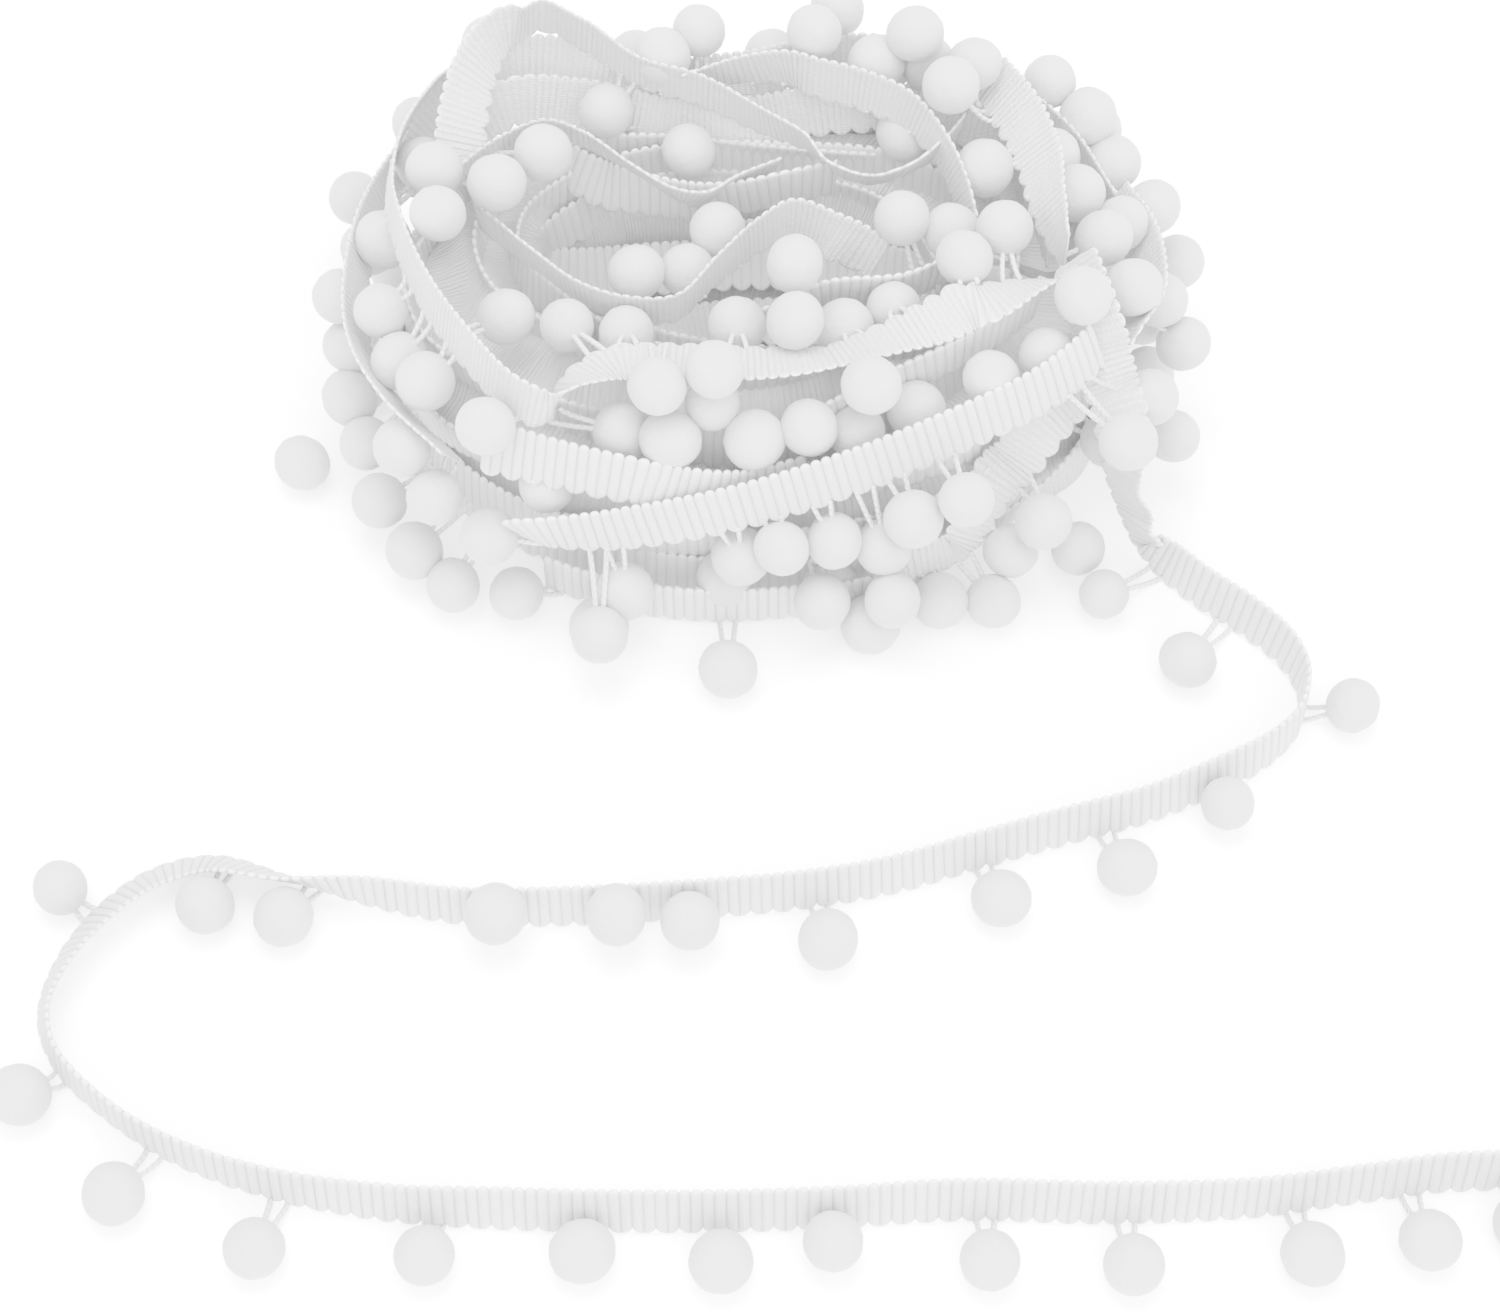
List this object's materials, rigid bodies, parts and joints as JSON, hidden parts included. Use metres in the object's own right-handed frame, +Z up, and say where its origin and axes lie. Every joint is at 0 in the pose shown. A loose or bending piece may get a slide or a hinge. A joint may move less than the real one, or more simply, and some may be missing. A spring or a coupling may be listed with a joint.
{
  "type": "pompom fringe trim",
  "caption": "Narrow ribbed ribbon with a row of small round pompoms on yarn loops along one edge, loosely wound into a heap with one end laid out in an S.",
  "frame": {"origin": "on the surface that the trim lies on, under the middle of its bounding box", "axes": "+X along the last straight run of the loose end, towards its free tip; +Y from the loose end to the wound heap; +Z up"},
  "size_m": [0.2854, 0.2423, 0.0613],
  "materials": {
    "wound_trim": "matt white ribbed ribbon and velvety pompoms",
    "loose_trim": "matt white ribbed ribbon and velvety pompoms"
  },
  "bodies": {
    "root": {"coil": "wound_trim", "tail": "loose_trim"}
  },
  "joints": []
}
